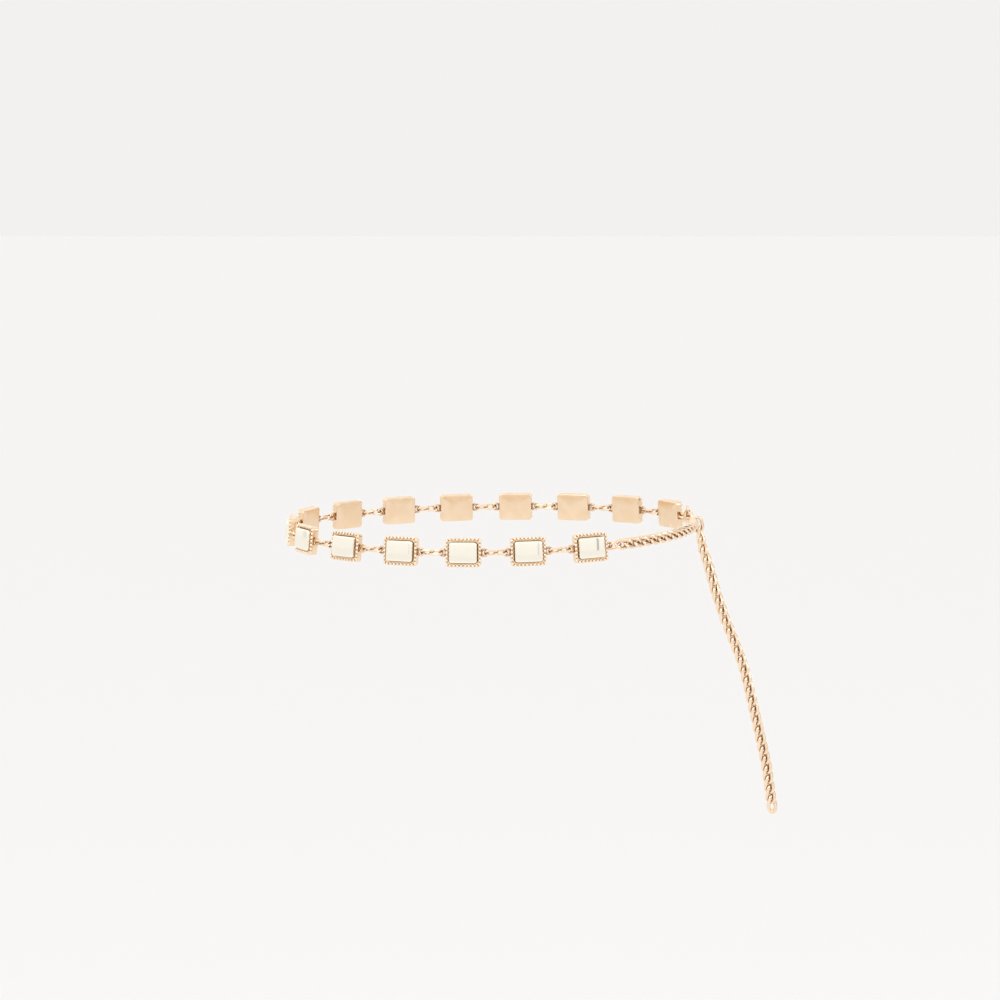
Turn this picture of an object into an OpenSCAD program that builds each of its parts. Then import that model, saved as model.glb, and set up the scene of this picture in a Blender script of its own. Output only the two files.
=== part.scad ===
// Waist chain: framed plates joined by oval links, closed at one side by a lobster clasp that
// hooks into a curb chain, whose free end hangs down the hip. Millimetres, +Z up, the viewer
// in front of it at -Y. The origin is the middle of the waist opening.

/* [Waist loop] */
// Width of the loop from side to side, along the middle of the metal
loop_w = 248.4; // [240:0.2:258]
// Depth of the loop from front to back
loop_d = 193; // [186:0.5:202]
// How far the front of the loop hangs below its middle
front_drop = 5; // [0:0.5:8]
// How far the clasp's side of the loop rides above its middle
side_rise = 2; // [0:0.5:4]
// How far both sides of the loop ride above its middle
side_lift = 1.5; // [0:0.5:3]

/* [Plates] */
// Number of framed plates
plate_count = 15; // [14:1:15]
// Distance along the loop from one plate to the next
plate_pitch = 38.3; // [37:0.1:39]
// Distance along the loop from the middle of the front to the plate beside the curb chain
first_plate_at = 59; // [54:0.5:64]
// How far the plates' top edges lean in, in degrees
plate_lean = 4; // [0:1:8]
// Width of the frame's wall
frame_w = 20.8; // [20:0.1:21.6]
// Height of the frame's wall
frame_h = 17; // [16.4:0.1:18]
// Thickness of the frame from its back to its front edge
frame_d = 4.2; // [3.8:0.1:5]
// Corner radius of the frame's wall
frame_corner = 1.8; // [1.6:0.1:2.6]
// Thickness of the metal behind the inset
frame_back = 1.4; // [1:0.1:1.8]
// Diameter of the beads along the frame's front edge
bead_d = 2; // [1.7:0.1:2.1]
// Distance between beads, rounded to suit the whole rim
bead_pitch = 2.3; // [2.15:0.01:2.6]
// How far the beads stand past the frame's wall
bead_overhang = 0.4; // [0.2:0.05:0.6]

/* [Insets] */
// Width of the polished inset
inset_w = 16.8; // [16:0.1:17]
// Height of the polished inset
inset_h = 12.4; // [11.6:0.1:12.8]
// Corner radius of the inset
inset_corner = 1.6; // [1:0.1:2]
// How far the middle of the inset stands in front of the frame
inset_proud = 2.8; // [2:0.1:3.4]
// Radius of the inset's domed face
inset_dome = 60; // [40:1:90]
// Clearance between an inset and its frame
inset_gap = 0.15; // [0.1:0.01:0.2]

/* [Lugs and connectors] */
// Outer diameter of the ring at each end of a frame
lug_d = 5.15; // [5.1:0.05:5.3]
// Wire of that ring
lug_wire = 1.25; // [1:0.05:1.25]
// How deep the ring is let into the frame's wall
lug_sunk = 0.5; // [0.35:0.05:0.6]
// Wire of the oval links between the plates
connector_wire = 1.3; // [1.15:0.05:1.3]
// Outer width of those oval links
connector_w = 5.3; // [5.2:0.05:5.6]
// Free play where two of them hook together
connector_play = 0.45; // [0.35:0.05:0.5]
// Outer diameter of the jump ring that joins the curb chain to its plate
jump_ring_d = 9; // [8.4:0.1:9.4]
// Wire of the jump ring
jump_ring_wire = 1.15; // [1:0.05:1.2]

/* [Curb chain] */
// Outer length of a curb link
curb_l = 10.9; // [10.7:0.1:11.1]
// Outer width of a curb link
curb_w = 7.4; // [7.2:0.1:7.8]
// Wire of a curb link
curb_wire = 2; // [1.9:0.05:2.05]
// How far each end of a curb link is twisted, in degrees
curb_twist = 45; // [42:1:50]
// Free play between curb links
curb_play = 0.25; // [0.2:0.05:0.35]
// Number of twisted links in the free end
tail_links = 28; // [20:1:30]

/* [Clasp] */
// Distance from the clasp's eye to the middle of its claw
claw_reach = 12.5; // [12:0.1:14]
// Inner diameter of the claw
claw_bore = 8.2; // [8:0.1:8.6]
// Thickness of the claw's round arm
claw_arm = 2.1; // [1.9:0.1:2.3]
// How far the claw's middle is raised above the pull of the chain
claw_raise = 0.8; // [0.4:0.1:0.8]
// Thickness of the clasp's body
clasp_t = 3.4; // [3.2:0.1:3.8]
// Bore of the clasp's eye
eye_bore = 2.8; // [2.7:0.1:3.1]
// Wall round the eye's bore
eye_wall = 1.15; // [1:0.05:1.4]
// Thickness of the eye
eye_t = 1.3; // [1.2:0.1:1.4]
// Outer length of the oval link between the clasp and the last plate
clasp_link_l = 7.2; // [7:0.1:8]
// Thickness of the lever
lever_t = 1.7; // [1.5:0.1:1.8]
// Diameter of the pin that the lever turns on
lever_pin = 1.1; // [1:0.05:1.2]
// Clearance between the lever and its pin, slot and claw
lever_gap = 0.15; // [0.12:0.01:0.18]
// How far the thumb nub stands past the claw
nub_reach = 1.6; // [1.2:0.1:2]

/* [Hidden] */
$fn = 48;

// The free end's route: how far out, how far back and how far down, from where it starts to hang
TAIL_ROUTE = [
    [0, 0, 0], [2.5, 0, 12], [6, -2, 24], [10, -5, 40], [15, -7.5, 56], [20.5, -9, 70],
    [26, -9.5, 84], [30, -9, 98], [33.5, -8, 111], [37, -6.5, 124], [40.5, -5, 137],
    [44, -3, 150], [46.5, -1, 163], [49, 1, 176], [50.5, 2.5, 190], [51.5, 4, 230]
];

ARC_STEPS = 180;
DEGREES_PER_STEP = 360 / ARC_STEPS;
LINK_POINTS = 14;
WIRE_SIDES = 6;
DOME_SIDES = 128;
LINK_SQUARENESS = 2.4;
TAUT_GAP = 0.1;
HEADING_STEP = 0.5;
TAIL_HEADING_STEP = 4;
TANGENT_STEP = 3;
CONNECTOR_ROLL = 58;
JUMP_RING_ROLL = 49;
HOOK_LINK_ROLL = 90;
HOOK_LINK_TURN = -4;
LEAD_IN_ROLL = -35;
LEAD_IN_LINKS = 2;
TAIL_ROLL = -45;
TAIL_TURN_LINKS = 4;
PIVOT_ANGLE = 145;
TIP_ANGLE = 60;
ARM_ROOT_ANGLE = -170;

// Outline of the clasp's cheeks: round the claw's root from the claw's middle, then round the pivot
CHEEK_NECK = 1.4;
CHEEK_ROOT = [[-5.35, -3.4], [-3.95, -1.9], [-4.2, 0], [-4, 1.4]];
CHEEK_CROWN = [[1.4, 1.2], [0.2, 2], [-1.2, 1.8]];
// How far the lever's slot reaches behind the pivot and below it
SLOT_BACK = 2.4;
SLOT_BELOW = 1.7;

lug_r = (lug_d - lug_wire) / 2;
lug_x = frame_w / 2 - lug_sunk + lug_d / 2;
hook_x = lug_x + lug_r - (lug_wire + connector_wire) / 2 - connector_play;
jump_ring_r = (jump_ring_d - jump_ring_wire) / 2;
curb_half_l = (curb_l - curb_wire) / 2;
curb_half_w = (curb_w - curb_wire) / 2;
curb_pitch = curb_l - 2 * curb_wire - curb_play;

claw_r = (claw_bore + claw_arm) / 2;
claw = [claw_reach, claw_raise];
pivot = claw + claw_r * [cos(PIVOT_ANGLE), sin(PIVOT_ANGLE)];
eye_d = eye_bore + 2 * eye_wall;
clasp_link_x = eye_bore / 2 - connector_wire / 2 - connector_play;
hooked_x = claw_reach + claw_bore / 2 - curb_wire / 2 - connector_play;
closure_l = clasp_link_l - connector_wire + clasp_link_x + hooked_x + curb_half_l;

// Unit vector along v
function unit(v) = v / norm(v);

// Point of the loop at an angle round it, from the middle of the front towards the clasp's side
function loop_point(angle) = [
    loop_w / 2 * sin(angle),
    -loop_d / 2 * cos(angle),
    side_rise * sin(angle) + side_lift * pow(sin(angle), 2) - front_drop * cos(angle)
];

// Length along the loop against the angle round it
ARC_TABLE = [
    for (i = 0, len = 0; i <= ARC_STEPS;
        len = len + norm(loop_point((i + 1) * DEGREES_PER_STEP) - loop_point(i * DEGREES_PER_STEP)),
        i = i + 1)
        [len, i * DEGREES_PER_STEP]
];
loop_len = ARC_TABLE[ARC_STEPS][0];

function at(s) = loop_point(lookup(s - loop_len * floor(s / loop_len), ARC_TABLE));
function heading(s) = unit(at(s + HEADING_STEP) - at(s - HEADING_STEP));

// A pose is [origin, x axis, y axis, z axis]
function pose(origin, along, up) =
    let (x = unit(along), y = unit(cross(up, x)))
    [origin, x, y, cross(x, y)];
function rolled(p, angle) = [
    p[0],
    p[1],
    p[2] * cos(angle) + p[3] * sin(angle),
    p[3] * cos(angle) - p[2] * sin(angle)
];
function turned(p, angle) = [
    p[0],
    p[1] * cos(angle) + p[2] * sin(angle),
    p[2] * cos(angle) - p[1] * sin(angle),
    p[3]
];
function moved(p, x, y = 0, z = 0) = [p[0] + x * p[1] + y * p[2] + z * p[3], p[1], p[2], p[3]];

UP = [0, 0, 1];

// The plates
function plate_s(k) = first_plate_at - (k - 1) * plate_pitch;
function plate_pose(k) = rolled(pose(at(plate_s(k)), heading(plate_s(k)), UP), -plate_lean);
function hook_point(k, side) = moved(plate_pose(k), side * hook_x)[0];
function lug_turn(k, side) =
    let (p = plate_pose(k), d = heading(plate_s(k) + side * plate_pitch / 2))
    atan2(d * p[2], d * p[1]);

// The closure: from the last plate's lug through the clasp to the hooked curb link
closure_start = hook_point(plate_count, -1);
hooked_s = plate_s(plate_count) - hook_x - closure_l + loop_len;
closure_pose = pose(closure_start, at(hooked_s) - closure_start, UP);
clasp_pose = moved(closure_pose, clasp_link_l - connector_wire + clasp_link_x);
hook_link_pose = turned(moved(clasp_pose, hooked_x), HOOK_LINK_TURN);

// The curb chain along the waist
ring_hook_x = lug_x + lug_r - (lug_wire + jump_ring_wire) / 2 - connector_play;
chain_start_s = first_plate_at + ring_hook_x + 2 * jump_ring_r - (jump_ring_wire + curb_wire) / 2
    - connector_play;
chain_run = hooked_s - chain_start_s - curb_half_l;
chain_links = ceil(chain_run / (curb_l - 2 * curb_wire - TAUT_GAP));
chain_pitch = chain_run / chain_links;

// The free end
arm_end_x = curb_wire / 2 + connector_play + claw_arm;
next_link_x = 2 * curb_half_l - curb_wire * 1.5 - curb_play;
drop_link_x = (arm_end_x + next_link_x) / 2;
drop_dir = unit([TAIL_ROUTE[1].x, TAIL_ROUTE[1].y, -TAIL_ROUTE[1].z]);
tail_out = unit([closure_pose[2].x, closure_pose[2].y, 0]);
tail_back = cross(UP, tail_out);
first_drop = tail_out * drop_dir.x + tail_back * drop_dir.y + UP * drop_dir.z;
drop_link_pose = pose(
    moved(hook_link_pose, drop_link_x, curb_half_w)[0] + UP * (curb_wire + connector_play),
    first_drop, tail_out);
tail_start = drop_link_pose[0] + first_drop * (2 * curb_half_l - curb_wire - curb_play);
TAIL_POINTS = [
    for (p = TAIL_ROUTE) tail_start + tail_out * p.x + tail_back * p.y - UP * p.z
];
TAIL_LENGTHS = [
    for (i = 0, len = 0; i < len(TAIL_POINTS);
        len = len + norm(TAIL_POINTS[min(i + 1, len(TAIL_POINTS) - 1)] - TAIL_POINTS[i]), i = i + 1)
        len
];
function tail_coordinate(s, axis) =
    lookup(s, [for (i = [0 : len(TAIL_POINTS) - 1]) [TAIL_LENGTHS[i], TAIL_POINTS[i][axis]]]);
function tail_at(s) = [for (axis = [0 : 2]) tail_coordinate(s, axis)];
function tail_heading(s) =
    unit(tail_at(s + TAIL_HEADING_STEP) - tail_at(max(0, s - TAIL_HEADING_STEP)));

module place(p) {
    multmatrix([
        [p[1].x, p[2].x, p[3].x, p[0].x],
        [p[1].y, p[2].y, p[3].y, p[0].y],
        [p[1].z, p[2].z, p[3].z, p[0].z]
    ])
        children();
}

// Rectangle with round corners, centred
module round_rect(w, h, r) {
    square([w - 2 * r, h], center = true);
    square([w, h - 2 * r], center = true);
    for (x = [-1, 1], y = [-1, 1])
        translate([x * (w / 2 - r), y * (h / 2 - r)])
            circle(r);
}

// Round ring in the XZ plane, centred
module ring(r, wire) {
    rotate([90, 0, 0])
        rotate_extrude()
            translate([r, 0])
                circle(d = wire);
}

// Oval link in the XZ plane, its wire's middle running from x = 0 to x = length
module oval_link(length, width, wire) {
    r = (width - wire) / 2;
    rotate([90, 0, 0]) {
        translate([r, 0, 0])
            rotate([0, 0, 90])
                rotate_extrude(angle = 180)
                    translate([r, 0])
                        circle(d = wire);
        translate([length - r, 0, 0])
            rotate([0, 0, -90])
                rotate_extrude(angle = 180)
                    translate([r, 0])
                        circle(d = wire);
        for (side = [-1, 1])
            translate([r, side * r, 0])
                rotate([0, 90, 0])
                    cylinder(h = length - 2 * r, d = wire);
    }
}

// Middle of a curb link's wire at an angle round the link
function curb_bow(c) = sign(c) * pow(abs(c), 2 / LINK_SQUARENESS);
function curb_point(angle) =
    let (
        x = curb_half_l * curb_bow(cos(angle)),
        r = curb_half_w * curb_bow(sin(angle)),
        twist = curb_twist * x / curb_half_l
    )
    [x, -r * sin(twist), r * cos(twist)];
function curb_flat(angle) =
    let (twist = curb_twist * curb_bow(cos(angle)))
    [0, cos(twist), sin(twist)];

// Curb link along X, centred, with its ends twisted so that neighbours lie flat
module curb_link() {
    points = [
        for (i = [0 : LINK_POINTS - 1])
            let (
                angle = 360 * (i + 0.5) / LINK_POINTS,
                tangent = unit(curb_point(angle + TANGENT_STEP) - curb_point(angle - TANGENT_STEP)),
                side = unit(cross(tangent, curb_flat(angle))),
                face = cross(side, tangent)
            )
            for (j = [0 : WIRE_SIDES - 1])
                curb_point(angle)
                    + curb_wire / 2 * (side * cos(360 * j / WIRE_SIDES) + face * sin(360 * j / WIRE_SIDES))
    ];
    function corner(i, j) = (i % LINK_POINTS) * WIRE_SIDES + j % WIRE_SIDES;
    faces = [
        for (i = [0 : LINK_POINTS - 1], j = [0 : WIRE_SIDES - 1], half = [0, 1])
            half == 0
                ? [corner(i, j), corner(i + 1, j + 1), corner(i + 1, j)]
                : [corner(i, j), corner(i, j + 1), corner(i + 1, j + 1)]
    ];
    polyhedron(points, faces);
}

// Point of a round-cornered rectangle's rim, a length s along it from the foot of its right side
function rim_point(s, w, h, r) =
    let (
        side = h - 2 * r,
        top = w - 2 * r,
        bend = PI * r / 2,
        half_rim = side + top + 2 * bend,
        degrees = 180 / PI / r
    )
    s >= half_rim ? -rim_point(s - half_rim, w, h, r)
        : s < side ? [w / 2, s - side / 2]
        : s < side + bend ? [top / 2, side / 2] + r * [cos((s - side) * degrees), sin((s - side) * degrees)]
        : s < side + bend + top ? [top / 2 - (s - side - bend), h / 2]
        : [-top / 2, side / 2]
            + r * [-sin((s - side - bend - top) * degrees), cos((s - side - bend - top) * degrees)];

// Beads along the frame's front edge
module beads() {
    run_w = frame_w + 2 * bead_overhang - bead_d;
    run_h = frame_h + 2 * bead_overhang - bead_d;
    run_r = frame_corner + bead_overhang - bead_d / 2;
    rim = 2 * (run_w + run_h) + (2 * PI - 8) * run_r;
    count = 2 * round(rim / bead_pitch / 2);
    side_middle = run_h / 2 - run_r;
    for (i = [0 : count - 1]) {
        p = rim_point((side_middle + i * rim / count) % rim, run_w, run_h, run_r);
        translate([p.x, -frame_d / 2, p.y])
            rotate([90, 0, 0])
                sphere(d = bead_d);
    }
}

// One frame with its back, its bead edge and the two rings soldered to its ends
module frame(k) {
    color([0.93, 0.76, 0.54])
        place(plate_pose(k))
            union() {
                difference() {
                    union() {
                        rotate([90, 0, 0])
                            linear_extrude(height = frame_d, center = true)
                                round_rect(frame_w, frame_h, frame_corner);
                        beads();
                    }
                    translate([0, frame_d / 2 - frame_back, 0])
                        rotate([90, 0, 0])
                            linear_extrude(height = frame_d + bead_d)
                                round_rect(inset_w + 2 * inset_gap, inset_h + 2 * inset_gap,
                                    inset_corner + inset_gap);
                }
                for (side = [-1, 1])
                    translate([side * lug_x, 0, 0])
                        rotate([0, 0, lug_turn(k, side)])
                            ring(lug_r, lug_wire);
            }
}

// One polished inset: a round-cornered block with a domed face
module inset(k) {
    depth = frame_d - frame_back - inset_gap + inset_proud;
    color([0.96, 0.93, 0.84])
        place(plate_pose(k))
            intersection() {
                translate([0, frame_d / 2 - frame_back - inset_gap, 0])
                    rotate([90, 0, 0])
                        linear_extrude(height = depth)
                            round_rect(inset_w, inset_h, inset_corner);
                translate([0, inset_dome - frame_d / 2 - inset_proud, 0])
                    sphere(r = inset_dome, $fn = DOME_SIDES);
            }
}

// The two interlocked oval links between plate k + 1 and plate k
module connector(k) {
    start = hook_point(k + 1, 1);
    span = hook_point(k, -1) - start;
    length = (norm(span) + connector_wire + connector_play) / 2;
    run = pose(start, span, plate_pose(k)[3] + plate_pose(k + 1)[3]);
    color([0.9, 0.74, 0.52]) {
        place(rolled(run, CONNECTOR_ROLL))
            oval_link(length, connector_w, connector_wire);
        place(rolled(moved(run, norm(span) - length), 180 - CONNECTOR_ROLL))
            oval_link(length, connector_w, connector_wire);
    }
}

// Ring between the first plate and the curb chain
module jump_ring() {
    start = moved(plate_pose(1), ring_hook_x)[0];
    color([0.9, 0.78, 0.6])
        place(rolled(pose(start, heading(first_plate_at + ring_hook_x + jump_ring_r), UP), JUMP_RING_ROLL))
            translate([jump_ring_r, 0, 0])
                ring(jump_ring_r, jump_ring_wire);
}

// Curb chain from the jump ring to the clasp, with the plain link that the clasp hooks into
module front_chain() {
    color([0.9, 0.74, 0.52]) {
        for (i = [0 : chain_links - 1]) {
            s = chain_start_s + curb_half_l + i * chain_pitch;
            lead_in = max(0, 1 - (chain_links - 1 - i) / LEAD_IN_LINKS);
            place(rolled(pose(at(s), heading(s), UP), LEAD_IN_ROLL * lead_in))
                curb_link();
        }
        place(rolled(hook_link_pose, HOOK_LINK_ROLL))
            oval_link(2 * curb_half_l, curb_w, curb_wire);
    }
}

// Free end of the curb chain, hanging from the hooked link
module tail_chain() {
    color([0.88, 0.72, 0.5]) {
        place(drop_link_pose)
            oval_link(2 * curb_half_l, curb_w, curb_wire);
        for (i = [0 : tail_links - 1]) {
            s = curb_half_l + i * curb_pitch;
            roll = TAIL_ROLL * max(0, 1 - i / TAIL_TURN_LINKS);
            place(rolled(pose(tail_at(s), tail_heading(s), tail_out), roll))
                curb_link();
        }
    }
}

// Oval link between the last plate and the clasp's eye
module clasp_link() {
    color([0.9, 0.76, 0.55])
        place(rolled(closure_pose, HOOK_LINK_ROLL))
            oval_link(clasp_link_l - connector_wire, connector_w, connector_wire);
}

// Lobster clasp: eye, cheeks with the lever's pin, and the round arm of the claw
module clasp_body() {
    strap_h = eye_d - eye_wall;
    slot_t = lever_t + 2 * lever_gap;
    color([0.92, 0.8, 0.6])
        place(clasp_pose)
            union() {
                difference() {
                    union() {
                        rotate([90, 0, 0])
                            cylinder(h = eye_t, d = eye_d, center = true);
                        translate([0, -eye_t / 2, -strap_h / 2])
                            cube([claw_reach / 2, eye_t, strap_h]);
                        rotate([90, 0, 0])
                            linear_extrude(height = clasp_t, center = true)
                                polygon(concat(
                                    [[eye_d / 2, -CHEEK_NECK]],
                                    [for (p = CHEEK_ROOT) claw + p],
                                    [for (p = CHEEK_CROWN) pivot + p],
                                    [[eye_d / 2, CHEEK_NECK]]
                                ));
                    }
                    rotate([90, 0, 0])
                        cylinder(h = clasp_t, d = eye_bore, center = true);
                    translate([pivot.x - SLOT_BACK, -slot_t / 2, pivot.y - SLOT_BELOW])
                        cube([claw_reach, slot_t, claw_r]);
                }
                translate([pivot.x, 0, pivot.y])
                    rotate([90, 0, 0])
                        cylinder(h = clasp_t, d = lever_pin, center = true);
                translate([claw.x, 0, claw.y])
                    rotate([90, 0, 0])
                        rotate([0, 0, ARM_ROOT_ANGLE])
                            rotate_extrude(angle = TIP_ANGLE - ARM_ROOT_ANGLE)
                                translate([claw_r, 0])
                                    circle(d = claw_arm);
            }
}

// Sprung lever that closes the claw, turning on the pin
module clasp_lever() {
    boss_r = 1.45;
    bar_t = 1.2;
    tip_t = 0.9;
    tip = claw + [claw_bore / 2, claw_r * sin(TIP_ANGLE) - claw_arm / 2 - 2 * lever_gap];
    nub_r = 0.6;
    nub_foot = 1.6;
    nub_back = 0.7;
    nub = [pivot.x - nub_back, claw.y + claw_r + claw_arm / 2 + nub_reach - nub_r];
    color([0.94, 0.84, 0.66])
        place(clasp_pose)
            rotate([90, 0, 0])
                difference() {
                    linear_extrude(height = lever_t, center = true) {
                        difference() {
                            polygon([
                                [pivot.x, pivot.y + boss_r],
                                [pivot.x, pivot.y + boss_r - bar_t],
                                [tip.x, tip.y - tip_t],
                                tip
                            ]);
                            difference() {
                                translate([claw.x, -claw_bore])
                                    square([claw_bore, 3 * claw_bore]);
                                translate(claw)
                                    circle(d = claw_bore - 2 * lever_gap);
                            }
                        }
                        translate(pivot)
                            circle(boss_r);
                        polygon([
                            [nub.x - nub_r, pivot.y],
                            [nub.x + nub_foot, pivot.y],
                            [nub.x + nub_r, nub.y],
                            [nub.x - nub_r, nub.y]
                        ]);
                        translate(nub)
                            circle(nub_r);
                    }
                    translate([pivot.x, pivot.y, 0])
                        cylinder(h = 2 * lever_t, d = lever_pin + 2 * lever_gap, center = true);
                }
}

// Two digits for the number of a repeated piece
function two_digits(k) = str(k < 10 ? "0" : "", k);
function named(stem, k) = str(stem, two_digits(k));

for (k = [1 : plate_count]) {
    frame(k);
    inset(k);
}
for (k = [1 : plate_count - 1])
    connector(k);
jump_ring();
front_chain();
tail_chain();
clasp_link();
clasp_body();
clasp_lever();
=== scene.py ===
"""Waist chain: beaded plates joined by oval links, a lobster clasp and a curb chain that hangs free.

The sizes are millimetres, as a maker would give them, and each mesh is scaled to metres when it is made.
The origin is the middle of the waist opening, +Z is up and the viewer stands at -Y.
"""
import math
from collections import namedtuple

import bmesh
import bpy
import numpy as np
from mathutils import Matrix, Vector


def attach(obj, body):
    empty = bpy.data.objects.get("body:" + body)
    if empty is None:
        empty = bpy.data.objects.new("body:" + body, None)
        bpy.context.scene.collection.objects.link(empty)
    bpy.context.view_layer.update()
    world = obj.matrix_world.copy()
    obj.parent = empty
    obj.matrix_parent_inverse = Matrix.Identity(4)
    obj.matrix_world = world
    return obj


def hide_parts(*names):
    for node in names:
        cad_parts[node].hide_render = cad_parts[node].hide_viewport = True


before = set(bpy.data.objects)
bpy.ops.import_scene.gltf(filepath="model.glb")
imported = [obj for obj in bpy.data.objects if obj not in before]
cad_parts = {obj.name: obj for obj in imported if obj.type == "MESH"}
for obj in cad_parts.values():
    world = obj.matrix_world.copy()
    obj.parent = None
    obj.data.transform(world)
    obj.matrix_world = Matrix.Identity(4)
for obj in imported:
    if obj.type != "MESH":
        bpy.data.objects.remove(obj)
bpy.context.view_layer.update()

MM = 0.001

# The waist loop
LOOP_W = 248.4
LOOP_D = 193.0
FRONT_DROP = 5.0
SIDE_RISE = 2.0
SIDE_LIFT = 1.5

# The plates
PLATE_COUNT = 15
PLATE_PITCH = 38.3
FIRST_PLATE_AT = 59.0
PLATE_LEAN = 4.0
FRAME_W = 20.8
FRAME_H = 17.0
FRAME_D = 4.2
FRAME_CORNER = 1.8
FRAME_BACK = 1.4
BEAD_D = 2.0
BEAD_PITCH = 2.3
BEAD_OVERHANG = 0.4
RIM_ROUNDING = 0.35
BACK_ROUNDING = 0.7

# The insets
INSET_W = 16.8
INSET_H = 12.4
INSET_CORNER = 1.6
INSET_PROUD = 2.8
INSET_DOME = 90.0
INSET_ROUNDING = 1.0
INSET_GAP = 0.15

# The lugs and the oval links between the plates
LUG_D = 5.15
LUG_WIRE = 1.25
LUG_SUNK = 0.5
LUG_WIRE_SHOWN = 1.4
CONNECTOR_WIRE = 1.3
CONNECTOR_W = 5.3
CONNECTOR_PLAY = 0.45
CONNECTOR_ROLL = 58.0
JUMP_RING_D = 9.0
JUMP_RING_WIRE = 1.15
JUMP_RING_ROLL = 49.0
JUMP_RING_CUT = 3.0

# The curb chain
CURB_L = 10.9
CURB_W = 7.4
CURB_WIRE = 2.0
CURB_TWIST = 45.0
CURB_PLAY = 0.25
TAUT_GAP = 0.1
# A curb link as pressed: its wire's width and depth, and its half length and half width to the wire's middle
PRESSED_WIDE = 2.4
PRESSED_DEEP = 2.0
PRESSED_HALF_L = 5.35
PRESSED_HALF_W = 2.3
LINK_SQUARENESS = 2.4
TAIL_LINKS = 28
TAIL_ROLL = -45.0
TAIL_TURN_LINKS = 4
TAIL_TILT = -12.0
LEAD_IN_ROLL = -35.0
LEAD_IN_LINKS = 2
# The free end's route: how far out, how far back and how far down, from where it starts to hang
TAIL_ROUTE = [
    (0, 0, 0), (2.5, 0, 12), (6, -2, 24), (10, -5, 40), (15, -7.5, 56), (20.5, -9, 70),
    (26, -9.5, 84), (30, -9, 98), (33.5, -8, 111), (37, -6.5, 124), (40.5, -5, 137),
    (44, -3, 150), (46.5, -1, 163), (49, 1, 176), (50.5, 2.5, 190), (51.5, 4, 230),
]
TAIL_HEADING_STEP = 4.0

# The clasp
CLAW_REACH = 12.5
CLAW_BORE = 8.2
CLAW_ARM = 2.1
CLAW_RAISE = 0.8
CLASP_T = 3.4
EYE_BORE = 2.8
EYE_WALL = 1.15
EYE_T = 1.3
CLASP_LINK_L = 7.2
LEVER_T = 1.7
LEVER_GAP = 0.15
NUB_REACH = 1.6
PIVOT_ANGLE = 145.0
TIP_ANGLE = 60.0
ARM_ROOT_ANGLE = -170.0
HOOK_LINK_ROLL = 90.0
HOOK_LINK_TURN = -4.0
NECK_T = 2.2
CHEEK_NECK = 1.4
# Corners of the cheeks round the claw's root, from the claw's middle, and round the pivot, from the pivot
CHEEK_ROOT = np.array([(-5.6, -3.5), (-3.8, -1.9), (-4.15, 0), (-4, 1.4)])
CHEEK_CROWN = np.array([(1.5, 1.3), (0.2, 2.2), (-1.4, 1.9)])
# Corners of the neck between the eye and the cheeks
NECK = [(1.6, -1.9), (7.6, -3.1), (7.6, 3.4), (1.6, 1.9)]
# Corners of the solid metal between the cheeks, clear of the lever
CLEARED = [(3.2, -1.6), (7.0, -2.9), (8.3, -1.4), (8.3, 1.9), (5.7, 2.0), (3.4, 1.5)]
ARM_ROOT_DEPTH = 2.9
ARM_TIP_DEPTH = 1.8
RIVET_D = 1.5
RIVET_FLATNESS = 0.35
LEVER_BOSS_R = 1.45
LEVER_TIP_T = 0.9
LEVER_TIP_BACK = 1.55
NUB_R = 0.6
NUB_FOOT = 1.6
NUB_BACK = 0.7

# What follows from those sizes
LUG_R = (LUG_D - LUG_WIRE) / 2
LUG_X = FRAME_W / 2 - LUG_SUNK + LUG_D / 2
HOOK_X = LUG_X + LUG_R - (LUG_WIRE + CONNECTOR_WIRE) / 2 - CONNECTOR_PLAY
JUMP_RING_R = (JUMP_RING_D - JUMP_RING_WIRE) / 2
CURB_HALF_L = (CURB_L - CURB_WIRE) / 2
CURB_HALF_W = (CURB_W - CURB_WIRE) / 2
CURB_PITCH = CURB_L - 2 * CURB_WIRE - CURB_PLAY
CLAW_R = (CLAW_BORE + CLAW_ARM) / 2
CLAW = np.array((CLAW_REACH, CLAW_RAISE))
PIVOT = CLAW + CLAW_R * np.array((math.cos(math.radians(PIVOT_ANGLE)), math.sin(math.radians(PIVOT_ANGLE))))
EYE_D = EYE_BORE + 2 * EYE_WALL
CLASP_LINK_X = EYE_BORE / 2 - CONNECTOR_WIRE / 2 - CONNECTOR_PLAY
HOOKED_X = CLAW_REACH + CLAW_BORE / 2 - CURB_WIRE / 2 - CONNECTOR_PLAY
CLOSURE_L = CLASP_LINK_L - CONNECTOR_WIRE + CLASP_LINK_X + HOOKED_X + CURB_HALF_L

Y_AXIS = np.array((0.0, 1.0, 0.0))
UP = np.array((0.0, 0.0, 1.0))


# Places round the loop

def sine(angle):
    return math.sin(math.radians(angle))


def cosine(angle):
    return math.cos(math.radians(angle))


def unit(v):
    return v / np.linalg.norm(v)


def loop_point(angle):
    """Point of the loop at an angle round it, from the middle of the front towards the clasp's side."""
    return np.array((
        LOOP_W / 2 * sine(angle),
        -LOOP_D / 2 * cosine(angle),
        SIDE_RISE * sine(angle) + SIDE_LIFT * sine(angle) ** 2 - FRONT_DROP * cosine(angle),
    ))


LOOP_ANGLES = np.linspace(0, 360, 181)
LOOP_LENGTHS = np.concatenate(([0], np.cumsum(np.linalg.norm(
    np.diff([loop_point(a) for a in LOOP_ANGLES], axis=0), axis=1))))
LOOP_LEN = LOOP_LENGTHS[-1]


def at(s):
    """Point of the loop a length s from the middle of the front."""
    return loop_point(np.interp(s % LOOP_LEN, LOOP_LENGTHS, LOOP_ANGLES))


def heading(s):
    return unit(at(s + 0.5) - at(s - 0.5))


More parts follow.
